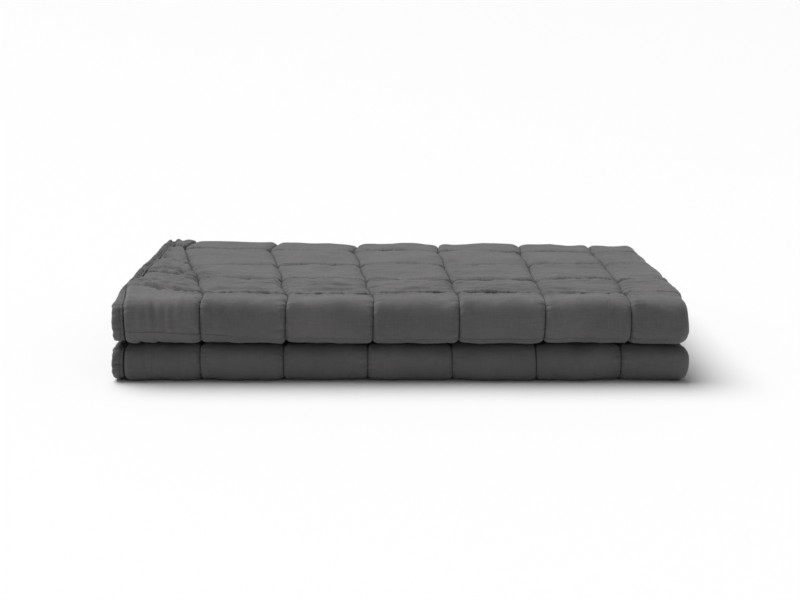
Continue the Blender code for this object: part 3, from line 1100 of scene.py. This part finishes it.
def clothMaterial(name, look):
    n = Nodes(name)
    flat = n.mark("flat", "Vector")
    patch = n.noise(flat, *grain["patch"])
    blend = n.add("ShaderNodeMath", operation="MULTIPLY_ADD")
    n.join(n.noise(flat, *grain["fibre"]), blend, 0)
    blend.inputs[1].default_value = grain["fibreShare"]
    n.join(patch, blend, 2)
    ramp = n.add("ShaderNodeValToRGB")
    ramp.color_ramp.elements[0].position = grain["darkestAt"]
    ramp.color_ramp.elements[0].color = look["dark"]
    ramp.color_ramp.elements[1].color = look["light"]
    n.join(blend.outputs[0], ramp, "Fac")
    # painted shade in the grooves along the stitching: the colour darkens towards each seam
    seam = n.mapRange(n.mark("full", "Fac"), 0, grain["seamShadeTo"], look["seamShade"], 1)
    # thicker yarns here and there, along both ways of the weave
    slubs = n.math("ADD", *(n.drawnOut(flat, stretch, *grain["slubNoise"]) for stretch in grain["slubs"]))
    slubShade = n.mapRange(slubs, *grain["slubRange"], 1 - look["slub"], 1 + look["slub"])
    tint = n.add("ShaderNodeVectorMath", operation="SCALE")
    n.join(ramp.outputs["Color"], tint, 0)
    n.join(n.math("MULTIPLY", seam, slubShade), tint, "Scale")
    n.join(tint.outputs["Vector"], n.shader, "Base Color")
    n.shader.inputs["Sheen Weight"].default_value = look["sheen"]
    n.shader.inputs["Sheen Roughness"].default_value = look["sheenRoughness"]
    n.shader.inputs["Specular IOR Level"].default_value = look["specular"]
    middle, spread = look["roughness"], look["roughnessSpread"]
    n.join(n.mapRange(patch, 0, 1, middle - spread, middle + spread), n.shader, "Roughness")
    # plain weave: warp and weft
    yarns = []
    for axis in ("X", "Y"):
        yarn = n.add("ShaderNodeTexWave", bands_direction=axis, Distortion=grain["weaveDistortion"],
                     Scale=grain["waveScale"] / look["weavePitch"])
        n.join(flat, yarn, "Vector")
        yarns.append(yarn.outputs["Fac"])
    normal = n.bump(n.math("ADD", *yarns), look["weaveBump"], grain["weaveHeight"])
    # soft creasing too fine for the mesh
    rumple = n.noise(flat, *grain["rumple"], Distortion=grain["rumpleDistortion"])
    normal = n.bump(rumple, look["rumple"], grain["rumpleHeight"], normal)
    # fine gathers that run away from the stitching
    apart = n.add("ShaderNodeSeparateXYZ")
    n.join(n.mark("seams", "Vector"), apart, "Vector")
    gathers = []
    for axis, stretch in grain["gathers"]:
        folds = n.drawnOut(flat, stretch, *grain["gatherNoise"])
        fade = n.mapRange(apart.outputs[axis], grain["gatherFrom"], look["gatherReach"], 1, 0,
                          interpolation_type="SMOOTHSTEP")
        gathers.append(n.math("MULTIPLY", folds, fade))
    normal = n.bump(n.math("ADD", *gathers), look["gather"], grain["gatherHeight"], normal)
    n.join(normal, n.shader, "Normal")
    return n.material


# studio
studio = {
    "floorReach": 400.0,
    # level past the horizon, then it turns up into a wall: how far back and how high, in reaches
    "floorLine": ((-1, 0), (1, 0), (3, 0.006), (3.2, 0.03), (3.5, 1.2)),
    "floorColour": (0.89, 0.89, 0.89, 1),
    "floorRoughness": 0.95,
    "air": 0.22,  # even light from all round
    "sun": 3.25,  # a broad lamp high up, behind and to the left
    "sunAngle": 50.0,
    "sunBack": 20.0,  # degrees from straight above
    "sunLeft": 22.0,
}

# camera, level with the middle of the stack's front
view = {
    "focal": 64.8,
    "sensor": 36.0,
    "clipEnd": 2500.0,
    "distance": 1.88,
    "height": 0.506,
    "downTilt": 11.77,
}


def makeFloor():
    reach = studio["floorReach"]
    points = [(side * reach, back * reach, up * reach)
              for back, up in studio["floorLine"] for side in (-2, 2)]
    faces = [[2 * k, 2 * k + 1, 2 * k + 3, 2 * k + 2] for k in range(len(studio["floorLine"]) - 1)]
    floor = meshPiece("studio_floor", points, faces)
    n = Nodes("studio_paper")
    n.shader.inputs["Base Color"].default_value = studio["floorColour"]
    n.shader.inputs["Roughness"].default_value = studio["floorRoughness"]
    floor.data.materials.append(n.material)


def makeLights():
    scene = bpy.context.scene
    world = bpy.data.worlds.new("studio_air")
    world.use_nodes = True
    background = world.node_tree.nodes["Background"]
    background.inputs["Color"].default_value = (1, 1, 1, 1)
    background.inputs["Strength"].default_value = studio["air"]
    scene.world = world
    light = bpy.data.lights.new("overhead", "SUN")
    light.energy = studio["sun"]
    light.angle = math.radians(studio["sunAngle"])
    lamp = bpy.data.objects.new("overhead", light)
    lamp.rotation_euler = (math.radians(-studio["sunBack"]), math.radians(-studio["sunLeft"]), 0)
    scene.collection.objects.link(lamp)
    scene.view_settings.view_transform = "Standard"


def makeCamera():
    scene = bpy.context.scene
    data = bpy.data.cameras.new("camera")
    data.lens = view["focal"]
    data.sensor_width = view["sensor"]
    data.clip_end = view["clipEnd"]
    camera = bpy.data.objects.new("camera", data)
    camera.location = (0, -fold["stackDepth"] / 2 - view["distance"], view["height"])
    camera.rotation_euler = (math.radians(90 - view["downTilt"]), 0, 0)
    scene.collection.objects.link(camera)
    scene.camera = camera


def dress(piece, material):
    piece.data.materials.append(material)
    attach(piece, "root")


makeCamera()
quilt = makeQuilt()
strip = makeBinding()
seamThread = makeSeamStitches()
edgeThread = makeEdgeStitches()
dress(quilt, clothMaterial("charcoal_shell", shell))
dress(strip, clothMaterial("charcoal_edging", edging))
threadLook = clothMaterial("charcoal_thread", sewing)
for piece in (seamThread, edgeThread):
    setAttribute(piece, "flat", np.array([v.co for v in piece.data.vertices]))
    setAttribute(piece, "full", np.ones(len(piece.data.vertices)))
    setAttribute(piece, "seams", np.ones((len(piece.data.vertices), 3)))
    dress(piece, threadLook)
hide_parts("quilt")
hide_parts("edge_binding")
makeFloor()
makeLights()
print("materials, floor and lights are set")
